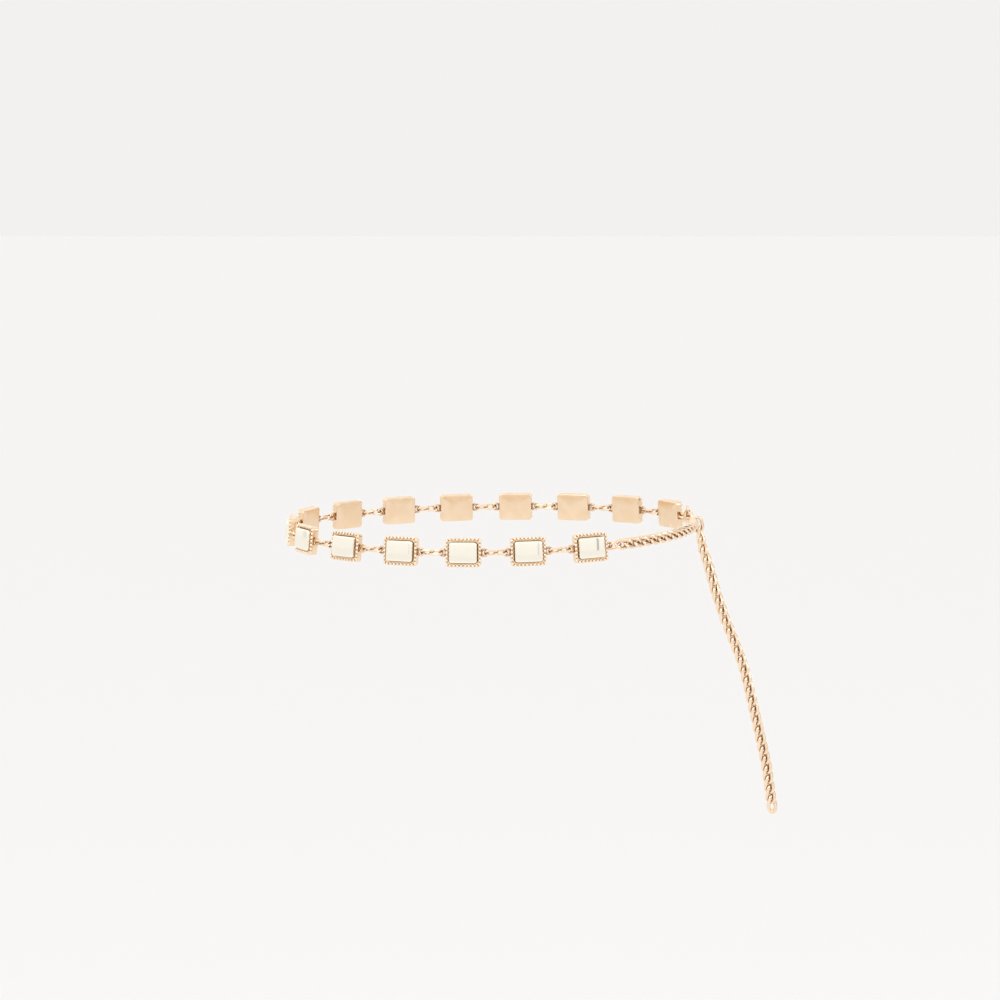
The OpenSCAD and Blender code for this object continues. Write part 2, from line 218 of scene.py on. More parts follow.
class Pose(namedtuple("Pose", "origin x y z")):
    """Where a piece lies: its origin and its three axes."""

    def place(self, points):
        return self.origin + np.asarray(points) @ np.array((self.x, self.y, self.z))

    def moved(self, x, y=0.0, z=0.0):
        return self._replace(origin=self.place((x, y, z)))

    def rolled(self, angle):
        """Turned about its own X axis."""
        c, s = cosine(angle), sine(angle)
        return self._replace(y=self.y * c + self.z * s, z=self.z * c - self.y * s)

    def turned(self, angle):
        """Turned about its own Z axis."""
        c, s = cosine(angle), sine(angle)
        return self._replace(x=self.x * c + self.y * s, y=self.y * c - self.x * s)


def pose(origin, along, up):
    x = unit(along)
    y = unit(np.cross(up, x))
    return Pose(origin, x, y, np.cross(x, y))


def plate_s(k):
    return FIRST_PLATE_AT - (k - 1) * PLATE_PITCH


def plate_pose(k):
    return pose(at(plate_s(k)), heading(plate_s(k)), UP).rolled(-PLATE_LEAN)


def hook_point(k, side):
    return plate_pose(k).moved(side * HOOK_X).origin


CLOSURE_START = hook_point(PLATE_COUNT, -1)
HOOKED_S = plate_s(PLATE_COUNT) - HOOK_X - CLOSURE_L + LOOP_LEN
CLOSURE_POSE = pose(CLOSURE_START, at(HOOKED_S) - CLOSURE_START, UP)
CLASP_POSE = CLOSURE_POSE.moved(CLASP_LINK_L - CONNECTOR_WIRE + CLASP_LINK_X)
HOOK_LINK_POSE = CLASP_POSE.moved(HOOKED_X).turned(HOOK_LINK_TURN)

RING_HOOK_X = LUG_X + LUG_R - (LUG_WIRE + JUMP_RING_WIRE) / 2 - CONNECTOR_PLAY
CHAIN_START_S = (FIRST_PLATE_AT + RING_HOOK_X + 2 * JUMP_RING_R
                 - (JUMP_RING_WIRE + CURB_WIRE) / 2 - CONNECTOR_PLAY)
CHAIN_RUN = HOOKED_S - CHAIN_START_S - CURB_HALF_L
CHAIN_LINKS = math.ceil(CHAIN_RUN / (CURB_L - 2 * CURB_WIRE - TAUT_GAP))
CHAIN_PITCH = CHAIN_RUN / CHAIN_LINKS

TAIL_OUT = unit(CLOSURE_POSE.y * (1, 1, 0))
TAIL_BACK = np.cross(UP, TAIL_OUT)


def hung(out, back, down):
    """A step outwards, backwards and down from the free end's top."""
    return TAIL_OUT * out + TAIL_BACK * back - UP * down


ARM_END_X = CURB_WIRE / 2 + CONNECTOR_PLAY + CLAW_ARM
NEXT_LINK_X = 2 * CURB_HALF_L - CURB_WIRE * 1.5 - CURB_PLAY
FIRST_DROP = unit(hung(*TAIL_ROUTE[1]))
DROP_LINK_POSE = pose(
    HOOK_LINK_POSE.moved((ARM_END_X + NEXT_LINK_X) / 2, CURB_HALF_W).origin
    + UP * (CURB_WIRE + CONNECTOR_PLAY),
    FIRST_DROP, TAIL_OUT)
TAIL_START = DROP_LINK_POSE.origin + FIRST_DROP * (2 * CURB_HALF_L - CURB_WIRE - CURB_PLAY)
TAIL_POINTS = np.array([TAIL_START + hung(*step) for step in TAIL_ROUTE])
TAIL_LENGTHS = np.concatenate(([0], np.cumsum(np.linalg.norm(np.diff(TAIL_POINTS, axis=0), axis=1))))


def tail_at(s):
    return np.array([np.interp(s, TAIL_LENGTHS, TAIL_POINTS[:, axis]) for axis in range(3)])


def tail_heading(s):
    return unit(tail_at(s + TAIL_HEADING_STEP) - tail_at(max(0, s - TAIL_HEADING_STEP)))


# Shapes: each is (points, faces)

def joined(shapes):
    points, faces, count = [], [], 0
    for shape_points, shape_faces in shapes:
        points.append(np.asarray(shape_points, float))
        faces += [tuple(count + i for i in face) for face in shape_faces]
        count += len(shape_points)
    return np.concatenate(points), faces


def placed(shape, where):
    return where.place(shape[0]), shape[1]


def bridge(rows, columns, closed_rows=False):
    """Faces between rows of points, each row a closed loop."""
    last = rows if closed_rows else rows - 1
    return [
        (i * columns + j, i * columns + (j + 1) % columns,
         (i + 1) % rows * columns + (j + 1) % columns, (i + 1) % rows * columns + j)
        for i in range(last) for j in range(columns)
    ]


def lofted(loops):
    """Closed solid through loops of points, its first and last loop closed by a fan about its middle."""
    loops = [np.asarray(loop, float) for loop in loops]
    columns = len(loops[0])
    points = np.concatenate(loops + [[loops[0].mean(0)], [loops[-1].mean(0)]])
    first, last = len(points) - 2, len(points) - 1
    end = (len(loops) - 1) * columns
    faces = bridge(len(loops), columns)
    faces += [(first, (j + 1) % columns, j) for j in range(columns)]
    faces += [(last, end + j, end + (j + 1) % columns) for j in range(columns)]
    return points, faces


def closed_wire(centres, flats, wide, sides, deep=None):
    """Wire along a closed line, round or pressed; flats point across it, through its depth."""
    centres, flats = np.asarray(centres), np.asarray(flats)
    tangents = np.roll(centres, -1, 0) - np.roll(centres, 1, 0)
    tangents /= np.linalg.norm(tangents, axis=1)[:, None]
    across = np.cross(tangents, flats)
    across /= np.linalg.norm(across, axis=1)[:, None]
    flats = np.cross(across, tangents)
    turns = np.linspace(0, 2 * math.pi, sides, endpoint=False)
    rings = (centres[:, None] + across[:, None] * wide / 2 * np.cos(turns)[None, :, None]
             - flats[:, None] * (deep or wide) / 2 * np.sin(turns)[None, :, None])
    return rings.reshape(-1, 3), bridge(len(centres), sides, closed_rows=True)


def ring(r, wire, steps=56, sides=16):
    """Round ring in the XZ plane, centred."""
    turns = np.linspace(0, 2 * math.pi, steps, endpoint=False)
    centres = np.stack((r * np.cos(turns), 0 * turns, r * np.sin(turns)), 1)
    return closed_wire(centres, np.tile(Y_AXIS, (steps, 1)), wire, sides)


def oval_link(length, width, wire, deep=None, bend_steps=20, side_steps=6, sides=16):
    """Oval link in the XZ plane, its wire's middle running from x = 0 to x = length."""
    r = (width - wire) / 2
    bend = np.linspace(-90, 90, bend_steps)
    run = np.linspace(length - r, r, side_steps + 2)[1:-1]
    far = [(length - r + r * cosine(a), 0, r * sine(a)) for a in bend]
    near = [(r - r * cosine(a), 0, -r * sine(a)) for a in bend]
    centres = far + [(x, 0, r) for x in run] + near + [(x, 0, -r) for x in run[::-1]]
    return closed_wire(centres, np.tile(Y_AXIS, (len(centres), 1)), wire, sides, deep)


def curb_bow(c):
    return math.copysign(abs(c) ** (2 / LINK_SQUARENESS), c)


def curb_link(half_l=PRESSED_HALF_L, half_w=PRESSED_HALF_W, wide=PRESSED_WIDE, deep=PRESSED_DEEP,
              steps=56, sides=14):
    """Curb link along X, centred, with its ends twisted so that neighbours lie flat."""
    centres, flats = [], []
    for i in range(steps):
        angle = 360 * (i + 0.5) / steps
        bow = curb_bow(cosine(angle))
        twist = CURB_TWIST * bow
        r = half_w * curb_bow(sine(angle))
        centres.append((half_l * bow, -r * sine(twist), r * cosine(twist)))
        flats.append((0, cosine(twist), sine(twist)))
    return closed_wire(centres, flats, wide, sides, deep)


def ball(d, rings=10, steps=16):
    """Ball with its poles along Y."""
    loops = []
    for i in range(1, rings):
        tilt = 180 * i / rings
        turns = np.linspace(0, 2 * math.pi, steps, endpoint=False)
        r = d / 2 * sine(tilt)
        loops.append(np.stack((r * np.cos(turns), 0 * turns + d / 2 * cosine(tilt), r * np.sin(turns)), 1))
    points, faces = lofted(loops)
    points[-2] = (0, d / 2, 0)
    points[-1] = (0, -d / 2, 0)
    return points, faces


def round_rect(w, h, r, y, corner_steps=7, side_steps=6):
    """Loop of a rectangle with round corners at a depth y."""
    points = []
    for x, z, start in ((1, 1, 0), (-1, 1, 90), (-1, -1, 180), (1, -1, 270)):
        middle = np.array((x * (w / 2 - r), y, z * (h / 2 - r)))
        corner = np.linspace(start, start + 90, corner_steps)
        points += [middle + (r * cosine(a), 0, r * sine(a)) for a in corner]
        to_next = np.array((-2 * middle[0], 0, 0)) if x * z > 0 else np.array((0, 0, -2 * middle[2]))
        corner_end = points[-1]
        points += [corner_end + to_next * i / (side_steps + 1) for i in range(1, side_steps + 1)]
    return np.array(points)


def rim_point(s, w, h, r):
    """Point of a round-cornered rectangle's rim, a length s along it from the foot of its right side."""
    side, top, bend = h - 2 * r, w - 2 * r, math.pi * r / 2
    half_rim = side + top + 2 * bend
    if s >= half_rim:
        x, z = rim_point(s - half_rim, w, h, r)
        return -x, -z
    if s < side:
        return w / 2, s - side / 2
    if s < side + bend:
        a = (s - side) / r
        return top / 2 + r * math.cos(a), side / 2 + r * math.sin(a)
    if s < side + bend + top:
        return top / 2 - (s - side - bend), h / 2
    a = (s - side - bend - top) / r
    return -top / 2 - r * math.sin(a), side / 2 + r * math.cos(a)


# The plates

def frame_tray():
    """The frame's walls and back: a shallow tray that opens towards the front."""
    half = FRAME_D / 2
    pocket_w, pocket_h = INSET_W + 2 * INSET_GAP, INSET_H + 2 * INSET_GAP
    pocket_r = INSET_CORNER + INSET_GAP
    loops = []
    for turn in np.linspace(90, 0, 5):
        off = BACK_ROUNDING * (1 - cosine(turn))
        loops.append((FRAME_W - 2 * off, FRAME_H - 2 * off, FRAME_CORNER - off / 2,
                      half - BACK_ROUNDING * (1 - sine(turn))))
    for turn in np.linspace(0, 90, 5):
        off = RIM_ROUNDING * (1 - cosine(turn))
        loops.append((FRAME_W - 2 * off, FRAME_H - 2 * off, FRAME_CORNER - off,
                      -half + RIM_ROUNDING * (1 - sine(turn))))
    for turn in np.linspace(90, 0, 4):
        off = RIM_ROUNDING * (1 - cosine(turn))
        loops.append((pocket_w + 2 * off, pocket_h + 2 * off, pocket_r + off,
                      -half + RIM_ROUNDING * (1 - sine(turn))))
    loops.append((pocket_w, pocket_h, pocket_r, half - FRAME_BACK))
    loops = [round_rect(*size) for size in loops]
    return lofted(loops)


def frame_beads():
    """Beads along the frame's front edge."""
    run_w = FRAME_W + 2 * BEAD_OVERHANG - BEAD_D
    run_h = FRAME_H + 2 * BEAD_OVERHANG - BEAD_D
    run_r = FRAME_CORNER + BEAD_OVERHANG - BEAD_D / 2
    rim = 2 * (run_w + run_h) + (2 * math.pi - 8) * run_r
    count = 2 * round(rim / BEAD_PITCH / 2)
    side_middle = run_h / 2 - run_r
    beads = []
    for i in range(count):
        x, z = rim_point((side_middle + i * rim / count) % rim, run_w, run_h, run_r)
        points, faces = ball(BEAD_D)
        beads.append((points + (x, -FRAME_D / 2, z), faces))
    return joined(beads)


def lug_turn(k, side):
    p = plate_pose(k)
    direction = heading(plate_s(k) + side * PLATE_PITCH / 2)
    return math.degrees(math.atan2(direction @ p.y, direction @ p.x))


def lugs_shape(k):
    """The two rings soldered to the frame's ends."""
    return joined([
        placed(ring(LUG_R, LUG_WIRE_SHOWN), plate_pose(k).moved(side * LUG_X).turned(lug_turn(k, side)))
        for side in (-1, 1)
    ])


def inset_face_y(x, z):
    """Depth of the inset's softly domed face."""
    return -FRAME_D / 2 - INSET_PROUD + (x * x + z * z) / (2 * INSET_DOME)


def inset_shape(k):
    """Polished inset: a block with a softly domed face and rounded edges."""
    back_y = FRAME_D / 2 - FRAME_BACK - INSET_GAP
    loops = [round_rect(INSET_W, INSET_H, INSET_CORNER, back_y),
             round_rect(INSET_W, INSET_H, INSET_CORNER, -FRAME_D / 2)]
    for turn in np.linspace(0, 90, 9):
        off = INSET_ROUNDING * (1 - cosine(turn))
        loop = round_rect(INSET_W - 2 * off, INSET_H - 2 * off, INSET_CORNER - off / 2, 0)
        loop[:, 1] = inset_face_y(loop[:, 0], loop[:, 2]) + INSET_ROUNDING * (1 - sine(turn))
        loops.append(loop)
    flat_edge = loops[-1]
    for share in np.linspace(1, 0, 12)[1:-1]:
        loop = flat_edge * (share, 1, share)
        loop[:, 1] = inset_face_y(loop[:, 0], loop[:, 2])
        loops.append(loop)
    points, faces = lofted(loops)
    points[-1] = (0, inset_face_y(0, 0), 0)
    return placed((points, faces), plate_pose(k))


# The links

def connector_shape(k):
    """The two interlocked oval links between plate k + 1 and plate k."""
    start = hook_point(k + 1, 1)
    span = hook_point(k, -1) - start
    reach = np.linalg.norm(span)
    length = (reach + CONNECTOR_WIRE + CONNECTOR_PLAY) / 2
    run = pose(start, span, plate_pose(k).z + plate_pose(k + 1).z)
    link = oval_link(length, CONNECTOR_W, CONNECTOR_WIRE)
    return joined([
        placed(link, run.rolled(CONNECTOR_ROLL)),
        placed(link, run.moved(reach - length).rolled(180 - CONNECTOR_ROLL)),
    ])


def jump_ring_shape():
    """Ring bent from wire, with the cut where it was closed."""
    turns = np.linspace(JUMP_RING_CUT / 2, 360 - JUMP_RING_CUT / 2, 64)
    wire_turns = np.linspace(0, 2 * math.pi, 16, endpoint=False)
    loops = []
    for a in turns:
        r = JUMP_RING_R + JUMP_RING_WIRE / 2 * np.cos(wire_turns)
        loops.append(np.stack((r * cosine(a), JUMP_RING_WIRE / 2 * np.sin(wire_turns), r * sine(a)), 1))
    along = heading(FIRST_PLATE_AT + RING_HOOK_X + JUMP_RING_R)
    where = pose(plate_pose(1).moved(RING_HOOK_X).origin, along, UP)
    return placed(lofted(loops), where.rolled(JUMP_RING_ROLL).moved(JUMP_RING_R))


def front_chain_shape():
    """The chain from the jump ring to the clasp; its last link is left round, to clear the drop link."""
    round_link = curb_link(CURB_HALF_L, CURB_HALF_W, CURB_WIRE, CURB_WIRE)
    links = []
    for i in range(CHAIN_LINKS):
        s = CHAIN_START_S + CURB_HALF_L + i * CHAIN_PITCH
        lead_in = max(0, 1 - (CHAIN_LINKS - 1 - i) / LEAD_IN_LINKS)
        link = curb_link() if i < CHAIN_LINKS - 1 else round_link
        links.append(placed(link, pose(at(s), heading(s), UP).rolled(LEAD_IN_ROLL * lead_in)))
    hooked = oval_link(2 * CURB_HALF_L, CURB_W, CURB_WIRE)
    return joined([*links, placed(hooked, HOOK_LINK_POSE.rolled(HOOK_LINK_ROLL))])


def tail_chain_shape():
    links = [placed(oval_link(2 * CURB_HALF_L, CURB_W, CURB_WIRE), DROP_LINK_POSE)]
    for i in range(TAIL_LINKS):
        s = CURB_HALF_L + i * CURB_PITCH
        roll = min(TAIL_TILT, TAIL_ROLL * (1 - i / TAIL_TURN_LINKS))
        links.append(placed(curb_link(), pose(tail_at(s), tail_heading(s), TAIL_OUT).rolled(roll)))
    return joined(links)


def clasp_link_shape():
    link = oval_link(CLASP_LINK_L - CONNECTOR_WIRE, CONNECTOR_W, CONNECTOR_WIRE)
    return placed(link, CLOSURE_POSE.rolled(HOOK_LINK_ROLL))


# The clasp

def softened(outline, rounds=3):
    """Outline with its corners cut again and again, so that it turns smoothly."""
    points = np.asarray(outline, float)
    for _ in range(rounds):
        following = np.roll(points, -1, 0)
        cuts = (0.75 * points + 0.25 * following, 0.25 * points + 0.75 * following)
        points = np.stack(cuts, 1).reshape(-1, 2)
    return points


def slab(outline, thickness, y=0.0):
    """Block of a thickness, standing on an outline in the XZ plane."""
    outline = np.asarray(outline, float)
    count = len(outline)
    front, back = (np.insert(outline, 1, y + side * thickness / 2, axis=1) for side in (-1, 1))
    faces = [(i, (i + 1) % count, count + (i + 1) % count, count + i) for i in range(count)]
    faces += [tuple(range(count))[::-1], tuple(range(count, 2 * count))]
    return np.concatenate((front, back)), faces


def disc(centre, r, thickness, steps=32):
    turns = np.linspace(0, 360, steps, endpoint=False)
    return slab([(centre[0] + r * cosine(a), centre[1] + r * sine(a)) for a in turns], thickness)


def cast(name, shapes, grain, polish_rounds):
    """One casting: the shapes melted together at a grain size, then polished smooth."""
    points, faces = joined(shapes)
    mesh = bpy.data.meshes.new(name)
    mesh.from_pydata(points.tolist(), [], faces)
    outward = bmesh.new()
    outward.from_mesh(mesh)
    bmesh.ops.recalc_face_normals(outward, faces=outward.faces)
    outward.to_mesh(mesh)
    outward.free()
    blank = bpy.data.objects.new(name, mesh)
    bpy.context.scene.collection.objects.link(blank)
    melt = blank.modifiers.new("melt", "REMESH")
    melt.mode = "VOXEL"
    melt.voxel_size = grain
    polish = blank.modifiers.new("polish", "SMOOTH")
    polish.factor = 0.5
    polish.iterations = polish_rounds
    graph = bpy.context.evaluated_depsgraph_get()
    finished = blank.evaluated_get(graph).to_mesh()
    shape = (np.array([tuple(v.co) for v in finished.vertices]),
             [tuple(f.vertices) for f in finished.polygons])
    blank.evaluated_get(graph).to_mesh_clear()
    bpy.data.objects.remove(blank)
    return shape


def claw_arm():
    """The claw's round arm, deepest at its root and thinner towards its rounded tip."""
    loops = []
    turns = np.linspace(0, 360, 20, endpoint=False)
    tip_steps = np.linspace(0, 90, 6)[1:-1]
    stations = [(a, 1.0) for a in np.linspace(ARM_ROOT_ANGLE, TIP_ANGLE - 8, 40)]
    stations += [(TIP_ANGLE - 8 + 8 * sine(a), cosine(a)) for a in tip_steps]
    for angle, share in stations:
        along = (angle - ARM_ROOT_ANGLE) / (TIP_ANGLE - ARM_ROOT_ANGLE)
        deep = (ARM_ROOT_DEPTH + (ARM_TIP_DEPTH - ARM_ROOT_DEPTH) * along) / 2 * share
        wide = CLAW_ARM / 2 * share
        loops.append([
            (CLAW[0] + (CLAW_R + wide * cosine(t)) * cosine(angle), deep * sine(t),
             CLAW[1] + (CLAW_R + wide * cosine(t)) * sine(angle))
            for t in turns
        ])
    return lofted(loops)


def clasp_body_shape():
    cheeks = softened([(EYE_D / 2, -CHEEK_NECK), *(CLAW + CHEEK_ROOT), *(PIVOT + CHEEK_CROWN),
                       (EYE_D / 2, CHEEK_NECK)])
    slot = LEVER_T + 2 * LEVER_GAP
    cheek_t = (CLASP_T - slot) / 2
    eye_points, eye_faces = ring((EYE_BORE + EYE_WALL) / 2, EYE_WALL)
    shapes = [
        (eye_points * (1, EYE_T / EYE_WALL, 1), eye_faces),
        slab(softened(NECK), NECK_T),
        slab(cheeks, cheek_t, -(slot + cheek_t) / 2),
        slab(cheeks, cheek_t, (slot + cheek_t) / 2),
        slab(softened(CLEARED, 2), slot + cheek_t),
        claw_arm(),
    ]
    body = cast("clasp_blank", shapes, grain=0.11, polish_rounds=10)
    rivets = []
    for side in (-1, 1):
        points, faces = ball(RIVET_D, rings=8, steps=24)
        rivets.append((points * (1, RIVET_FLATNESS, 1) + (PIVOT[0], side * CLASP_T / 2, PIVOT[1]), faces))
    return placed(joined([body, *rivets]), CLASP_POSE)


def clasp_lever_shape():
    """Sprung lever: a boss round its pin, a bar that closes the claw, and the thumb nub."""
    tip = CLAW + (CLAW_BORE / 2 - LEVER_TIP_BACK, CLAW_R * sine(TIP_ANGLE) - CLAW_ARM / 2 - 2 * LEVER_GAP)
    top = [PIVOT + (-0.4, LEVER_BOSS_R), PIVOT + (2.2, LEVER_BOSS_R - 0.25), tip + (-1.4, 0.35), tip]
    foot = [tip + (-0.3, -LEVER_TIP_T), tip + (-2.6, -LEVER_TIP_T + 0.3), PIVOT + (2.0, 0.1), PIVOT + (-0.4, 0)]
    nub = (PIVOT[0] - NUB_BACK, CLAW[1] + CLAW_R + CLAW_ARM / 2 + NUB_REACH - NUB_R)
    stem = [(nub[0] - NUB_R, PIVOT[1]), (nub[0] + NUB_FOOT, PIVOT[1]), (nub[0] + NUB_R, nub[1]),
            (nub[0] - NUB_R, nub[1])]
    shapes = [slab(softened(top + foot), LEVER_T), disc(PIVOT, LEVER_BOSS_R, LEVER_T), slab(stem, LEVER_T),
              disc(nub, NUB_R, LEVER_T)]
    return placed(cast("lever_blank", shapes, grain=0.09, polish_rounds=6), CLASP_POSE)


# Pieces

def make_piece(name, shape, nodes, body, material):
    """A Blender object from a shape in millimetres, standing for those nodes."""
    mesh = bpy.data.meshes.new(name)
    mesh.from_pydata((np.asarray(shape[0]) * MM).tolist(), [], shape[1])
    mesh.validate()
    mesh.polygons.foreach_set("use_smooth", [True] * len(mesh.polygons))
    piece = bpy.data.objects.new(name, mesh)
    bpy.context.scene.collection.objects.link(piece)
    mesh.materials.append(material)
    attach(piece, body)
    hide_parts(*nodes)
    return piece


# Materials

SOCKETS = {"colour": "NodeSocketColor", "value": "NodeSocketFloat"}


def new_group(name, takes, gives):
    """Empty shader node group with named inputs and outputs."""
    tree = bpy.data.node_groups.new(name, "ShaderNodeTree")
    for socket, (kind, value) in takes.items():
        tree.interface.new_socket(socket, in_out="INPUT", socket_type=SOCKETS[kind]).default_value = value
    for socket, kind in gives.items():
        tree.interface.new_socket(socket, in_out="OUTPUT", socket_type=SOCKETS[kind])
    return tree, tree.nodes.new("NodeGroupInput").outputs, tree.nodes.new("NodeGroupOutput").inputs


def add(tree, kind, inputs=(), **settings):
    """Add a shader node, set it, and link or fill its inputs."""
    node = tree.nodes.new("ShaderNode" + kind)
    for setting, value in settings.items():
        setattr(node, setting, value)
    for key, value in dict(inputs).items():
        if isinstance(value, bpy.types.NodeSocket):
            tree.links.new(value, node.inputs[key])
        else:
            node.inputs[key].default_value = value
    return node


def calc(tree, operation, *values, clamp=False):
    return add(tree, "Math", enumerate(values), operation=operation, use_clamp=clamp).outputs[0]


def blend(tree, share, first, second):
    """Colour between two colours."""
    mix = add(tree, "Mix", {0: share, 6: first, 7: second}, data_type="RGBA")
    return mix.outputs[2]


def faded(tree, value, low, high, to_low=0.0, to_high=1.0):
    """Value taken smoothly from one range to another."""
    return add(tree, "MapRange", {"Value": value, "From Min": low, "From Max": high, "To Min": to_low,
                                  "To Max": to_high}, interpolation_type="SMOOTHSTEP").outputs["Result"]


def plating_tone():
    """Plating that is a little deeper in soft patches."""
    tree, takes, gives = new_group(
        "plating_tone",
        {"Light plating": ("colour", (1, 1, 1, 1)), "Deep plating": ("colour", (1, 1, 1, 1)),
         "Patches per metre": ("value", 200.0), "Amount": ("value", 0.5)},
        {"Colour": "colour"})
    place = add(tree, "TexCoord").outputs["Object"]
    patches = add(tree, "TexNoise", {"Vector": place, "Scale": takes["Patches per metre"], "Detail": 3.0})
    share = calc(tree, "MULTIPLY", faded(tree, patches.outputs["Fac"], 0.35, 0.65), takes["Amount"])
    tree.links.new(blend(tree, share, takes["Light plating"], takes["Deep plating"]), gives["Colour"])
    return tree


def recess_shade():
    """Painted shade: darker, redder colour where metal faces metal, between beads, in link eyes and along
    seams.
    """
    tree, takes, gives = new_group(
        "recess_shade",
        {"Colour": ("colour", (1, 1, 1, 1)), "Shade": ("colour", (0.4, 0.2, 0.1, 1)),
         "Reach": ("value", 0.001), "Full at": ("value", 0.75), "Strength": ("value", 1.0)},
        {"Colour": "colour", "Recess": "value"})
    nearby = add(tree, "AmbientOcclusion", {"Distance": takes["Reach"]}, samples=8)
    closed = calc(tree, "SUBTRACT", 1.0, nearby.outputs["AO"])
    recess = calc(tree, "MULTIPLY", faded(tree, closed, 0.1, takes["Full at"]), takes["Strength"], clamp=True)
    tree.links.new(blend(tree, recess, takes["Colour"], takes["Shade"]), gives["Colour"])
    tree.links.new(recess, gives["Recess"])
    return tree


def edge_wear_and_highlight():
    """Paler, brighter colour on edges and high spots: partly wear, where handling keeps the plating polished,
    and partly painted highlight.
    """
    tree, takes, gives = new_group(
        "edge_wear_and_highlight",
        {"Colour": ("colour", (1, 1, 1, 1)), "Rubbed and highlight": ("colour", (1, 0.9, 0.75, 1)),
         "Strength": ("value", 0.5)},
        {"Colour": "colour", "Edge": "value"})
    high = add(tree, "NewGeometry").outputs["Pointiness"]
    edge = calc(tree, "MULTIPLY", faded(tree, high, 0.51, 0.6), takes["Strength"], clamp=True)
    tree.links.new(blend(tree, edge, takes["Colour"], takes["Rubbed and highlight"]), gives["Colour"])
    tree.links.new(edge, gives["Edge"])
    return tree


def polish_marks():
    """Fine wheel marks left by polishing, as roughness and as height."""
    tree, takes, gives = new_group(
        "polish_marks",
        {"Roughness": ("value", 0.15), "Spread": ("value", 0.05), "Marks per metre": ("value", 4000.0),
         "Depth": ("value", 0.00001)},
        {"Roughness": "value", "Height": "value"})
    place = add(tree, "TexCoord").outputs["Object"]
    drawn_out = add(tree, "Mapping", {"Vector": place, "Scale": (0.12, 0.12, 1.0)}, vector_type="POINT")
    marks = add(tree, "TexNoise", {"Vector": drawn_out.outputs["Vector"], "Scale": takes["Marks per metre"],
                                   "Detail": 2.0}).outputs["Fac"]
    smears = add(tree, "TexNoise", {"Vector": place, "Scale": 300.0, "Detail": 2.0}).outputs["Fac"]
    uneven = calc(tree, "SUBTRACT", calc(tree, "ADD", marks, smears), 1.0)
    roughness = calc(tree, "MULTIPLY_ADD", uneven, takes["Spread"], takes["Roughness"])
    tree.links.new(roughness, gives["Roughness"])
    tree.links.new(calc(tree, "MULTIPLY", marks, takes["Depth"]), gives["Height"])
    return tree


PLATING_TONE, RECESS_SHADE = plating_tone(), recess_shade()
EDGE_WEAR_AND_HIGHLIGHT, POLISH_MARKS = edge_wear_and_highlight(), polish_marks()
RECESS_DULLING = 0.15


def use(tree, group, inputs):
    node = tree.nodes.new("ShaderNodeGroup")
    node.node_tree = group
    for key, value in inputs.items():
        if isinstance(value, bpy.types.NodeSocket):
            tree.links.new(value, node.inputs[key])
        else:
            node.inputs[key].default_value = value
    return node.outputs


def plated_metal(name, light, deep, shade, rubbed_and_highlight, patches, patch_amount, reach, full_at, shade_strength,
                 edge_strength, roughness, spread, marks, depth):
    """Gold-plated metal, each finish with its own values."""
    material = bpy.data.materials.new(name)
    material.use_nodes = True
    tree = material.node_tree
    metal = tree.nodes["Principled BSDF"]
    metal.inputs["Metallic"].default_value = 1.0
    tone = use(tree, PLATING_TONE, {"Light plating": (*light, 1), "Deep plating": (*deep, 1),
                                    "Patches per metre": patches, "Amount": patch_amount})
    # Paler colour on edges and high spots: partly wear, partly painted highlight.
    edge = use(tree, EDGE_WEAR_AND_HIGHLIGHT, {"Colour": tone["Colour"], "Rubbed and highlight": (*rubbed_and_highlight, 1),
                                   "Strength": edge_strength})
    # Painted shade: the colour is darkened and reddened where metal faces metal.
    recess = use(tree, RECESS_SHADE, {"Colour": edge["Colour"], "Shade": (*shade, 1), "Reach": reach,
                                      "Full at": full_at, "Strength": shade_strength})
    polish = use(tree, POLISH_MARKS, {"Roughness": roughness, "Spread": spread, "Marks per metre": marks,
                                      "Depth": depth})
    dulled = calc(tree, "MULTIPLY_ADD", recess["Recess"], RECESS_DULLING, polish["Roughness"])
    bump = add(tree, "Bump", {"Height": polish["Height"], "Strength": 1.0, "Distance": 1.0})
    tree.links.new(recess["Colour"], metal.inputs["Base Color"])
    tree.links.new(dulled, metal.inputs["Roughness"])
    tree.links.new(bump.outputs["Normal"], metal.inputs["Normal"])
    return material


TRAY_GOLD = plated_metal(
    "tray_gold", light=(0.94, 0.74, 0.53), deep=(0.89, 0.65, 0.42), shade=(0.46, 0.23, 0.09),
    rubbed_and_highlight=(1.0, 0.86, 0.68), patches=160.0, patch_amount=0.6, reach=0.8 * MM, full_at=0.6,
    shade_strength=0.7, edge_strength=0.5, roughness=0.2, spread=0.12, marks=5000.0, depth=0.004 * MM)
# The beads are plated like the tray; their paler gold is painted highlight on the bead crowns.
BEAD_GOLD = plated_metal(
    "bead_gold", light=(1.0, 0.84, 0.66), deep=(0.97, 0.77, 0.55), shade=(0.36, 0.16, 0.05),
    rubbed_and_highlight=(1.0, 0.92, 0.8), patches=400.0, patch_amount=0.6, reach=1.1 * MM, full_at=0.5,
    shade_strength=0.9, edge_strength=0.3, roughness=0.14, spread=0.1, marks=5000.0, depth=0.003 * MM)
# The soldered rings are plated like the frame; their deeper copper colour is painted shade, for the shaded
# insides of the rings and the link ends in them.
SHADED_RING_GOLD = plated_metal(
    "shaded_ring_gold", light=(0.92, 0.68, 0.44), deep=(0.78, 0.5, 0.26), shade=(0.3, 0.12, 0.03),
    rubbed_and_highlight=(1.0, 0.82, 0.6), patches=300.0, patch_amount=0.7, reach=2.4 * MM, full_at=0.4,
    shade_strength=0.95, edge_strength=0.3, roughness=0.22, spread=0.1, marks=5000.0, depth=0.003 * MM)
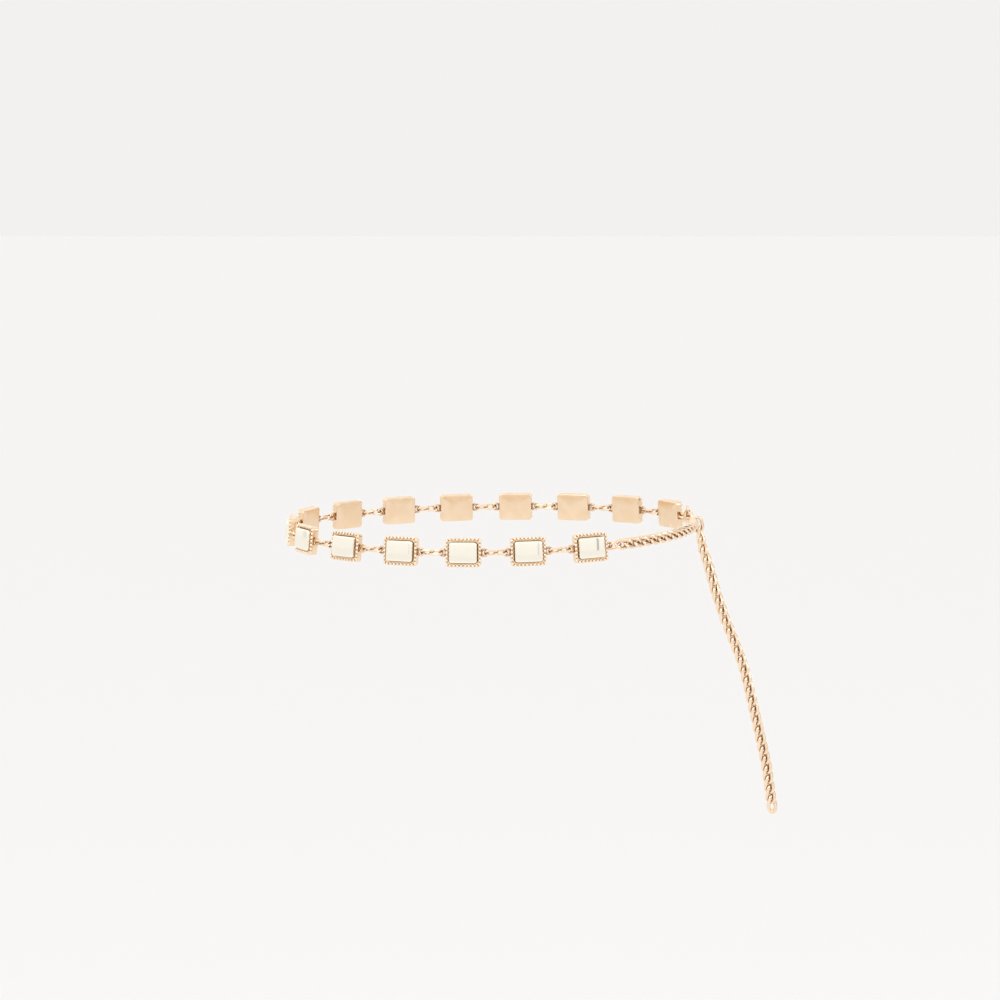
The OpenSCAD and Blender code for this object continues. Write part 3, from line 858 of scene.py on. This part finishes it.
# The insets are plated like the frame; their near-white cream colour is painted reflection, the bright room
# blown out in their mirror finish.
POLISHED_INSET = plated_metal(
    "polished_inset", light=(1.0, 0.965, 0.865), deep=(0.99, 0.94, 0.82), shade=(0.6, 0.38, 0.2),
    rubbed_and_highlight=(1.0, 0.97, 0.9), patches=90.0, patch_amount=0.5, reach=0.6 * MM, full_at=0.75,
    shade_strength=0.5, edge_strength=0.3, roughness=0.05, spread=0.04, marks=7000.0, depth=0.0006 * MM)
CHAIN_GOLD = plated_metal(
    "chain_gold", light=(0.97, 0.78, 0.58), deep=(0.93, 0.69, 0.47), shade=(0.42, 0.22, 0.09),
    rubbed_and_highlight=(1.0, 0.88, 0.72), patches=220.0, patch_amount=0.6, reach=2.0 * MM, full_at=0.55,
    shade_strength=0.82, edge_strength=0.35, roughness=0.14, spread=0.1, marks=5000.0, depth=0.003 * MM)
CLASP_GOLD = plated_metal(
    "clasp_gold", light=(0.97, 0.8, 0.6), deep=(0.94, 0.72, 0.5), shade=(0.35, 0.16, 0.06),
    rubbed_and_highlight=(1.0, 0.9, 0.75), patches=260.0, patch_amount=0.5, reach=1.5 * MM, full_at=0.55,
    shade_strength=0.9, edge_strength=0.4, roughness=0.13, spread=0.08, marks=6000.0, depth=0.003 * MM)

# The pieces, each on its body

for k in range(1, PLATE_COUNT + 1):
    number = f"{k:02d}"
    tray, beads = placed(frame_tray(), plate_pose(k)), placed(frame_beads(), plate_pose(k))
    inset = inset_shape(k)
    make_piece("frame_tray_" + number, tray, ["frame_" + number], "belt", TRAY_GOLD)
    make_piece("rim_beads_" + number, beads, ["frame_" + number], "belt", BEAD_GOLD)
    make_piece("soldered_rings_" + number, lugs_shape(k), ["frame_" + number], "belt",
               SHADED_RING_GOLD)
    make_piece("polished_inset_" + number, inset, ["inset_" + number], "belt",
               POLISHED_INSET)
for k in range(1, PLATE_COUNT):
    links = connector_shape(k)
    make_piece(f"oval_links_{k:02d}", links, [f"connector_{k:02d}"], "belt", CHAIN_GOLD)
make_piece("cut_jump_ring", jump_ring_shape(), ["jump_ring"], "belt", CHAIN_GOLD)
make_piece("curb_chain_front", front_chain_shape(), ["front_chain"], "belt", CHAIN_GOLD)
make_piece("curb_chain_tail", tail_chain_shape(), ["tail_chain"], "belt", CHAIN_GOLD)
make_piece("eye_link", clasp_link_shape(), ["clasp_link"], "belt", CLASP_GOLD)
make_piece("lobster_clasp", clasp_body_shape(), ["clasp_body"], "belt", CLASP_GOLD)
make_piece("sprung_lever", clasp_lever_shape(), ["clasp_lever"], "lever", CLASP_GOLD)

# The stage: a pale floor, soft light and the camera

FLOOR_Z = -0.6
FLOOR_REACH = 60.0
BACKDROP = (0.892, 0.879, 0.863, 1)
HORIZON_LIGHT = 0.96
SKY_LIGHT = 1.08
SKY_FROM = 0.35
# Flags and thin stands round the set: degrees round from the viewer, half width and share of light left
FLAGS = [(100.0, 14.0, 0.25), (-110.0, 10.0, 0.86), (49.5, 1.0, 0.5), (22.6, 0.9, 0.8), (-34.1, 0.9, 0.8)]

floor_mesh = bpy.data.meshes.new("floor")
floor_corners = [(x * FLOOR_REACH, y * FLOOR_REACH, FLOOR_Z) for x, y in ((-1, -1), (1, -1), (1, 1), (-1, 1))]
floor_mesh.from_pydata(floor_corners, [], [(0, 1, 2, 3)])
floor = bpy.data.objects.new("floor", floor_mesh)
bpy.context.scene.collection.objects.link(floor)
paper = bpy.data.materials.new("pale_paper")
paper.use_nodes = True
paper.node_tree.nodes["Principled BSDF"].inputs["Base Color"].default_value = (0.905, 0.901, 0.904, 1)
paper.node_tree.nodes["Principled BSDF"].inputs["Roughness"].default_value = 1.0
floor_mesh.materials.append(paper)


def studio_world():
    """Bright, even room: a plain backdrop for the camera, soft light with a few dark flags for the metal."""
    world = bpy.data.worlds.new("studio")
    bpy.context.scene.world = world
    world.use_nodes = True
    tree = world.node_tree
    direction = add(tree, "TexCoord").outputs["Generated"]
    parts = add(tree, "SeparateXYZ", {"Vector": direction}).outputs
    height = parts["Z"]
    towards_viewer = calc(tree, "MULTIPLY", parts["Y"], -1.0)
    azimuth = calc(tree, "MULTIPLY", calc(tree, "ARCTAN2", parts["X"], towards_viewer), 180 / math.pi)
    brightness = faded(tree, height, 0.0, SKY_FROM, HORIZON_LIGHT, SKY_LIGHT)
    for middle, width, dark in FLAGS:
        off = calc(tree, "ABSOLUTE", calc(tree, "SUBTRACT", azimuth, middle))
        brightness = calc(tree, "MULTIPLY", brightness, faded(tree, off, width * 0.6, width, dark, 1.0))
    seen = add(tree, "LightPath").outputs["Is Camera Ray"]
    lit = add(tree, "Background", {"Color": (1.0, 0.985, 0.965, 1), "Strength": brightness})
    backdrop = add(tree, "Background", {"Color": BACKDROP, "Strength": 1.0})
    both = add(tree, "MixShader", {0: seen, 1: lit.outputs[0], 2: backdrop.outputs[0]})
    tree.links.new(both.outputs[0], tree.nodes["World Output"].inputs["Surface"])


studio_world()


def soft_light(name, place, size, watts):
    """Square light that faces the origin."""
    light = bpy.data.lights.new(name, "AREA")
    light.shape = "SQUARE"
    light.size = size
    light.energy = watts
    lamp = bpy.data.objects.new(name, light)
    bpy.context.scene.collection.objects.link(lamp)
    lamp.location = place
    lamp.rotation_mode = "QUATERNION"
    lamp.rotation_quaternion = (-Vector(place)).to_track_quat("-Z", "Y")


soft_light("key_light", (-1.2, -1.9, 1.7), size=0.7, watts=8.0)
soft_light("side_light", (2.0, -0.9, 1.0), size=0.5, watts=4.0)

bpy.context.scene.view_settings.view_transform = "Standard"

CAMERA_DISTANCE = 2.2
CAMERA_ELEVATION = 5.0
FIELD_WIDTH = 0.62
IMAGE_SIZE = 1000
ORIGIN_PX = (493.5, 528.6)
camera_data = bpy.data.cameras.new("camera")
camera = bpy.data.objects.new("camera", camera_data)
bpy.context.scene.collection.objects.link(camera)
back = Vector((0, -cosine(CAMERA_ELEVATION), sine(CAMERA_ELEVATION)))
turn = (-back).to_track_quat("-Z", "Y")
metre_per_px = FIELD_WIDTH / IMAGE_SIZE
middle_px = Vector((IMAGE_SIZE / 2 - ORIGIN_PX[0], ORIGIN_PX[1] - IMAGE_SIZE / 2, 0))
aim = turn @ (middle_px * metre_per_px)
camera.rotation_mode = "QUATERNION"
camera.rotation_quaternion = turn
camera.location = aim + back * CAMERA_DISTANCE
camera_data.lens = camera_data.sensor_width * CAMERA_DISTANCE / FIELD_WIDTH
bpy.context.scene.camera = camera
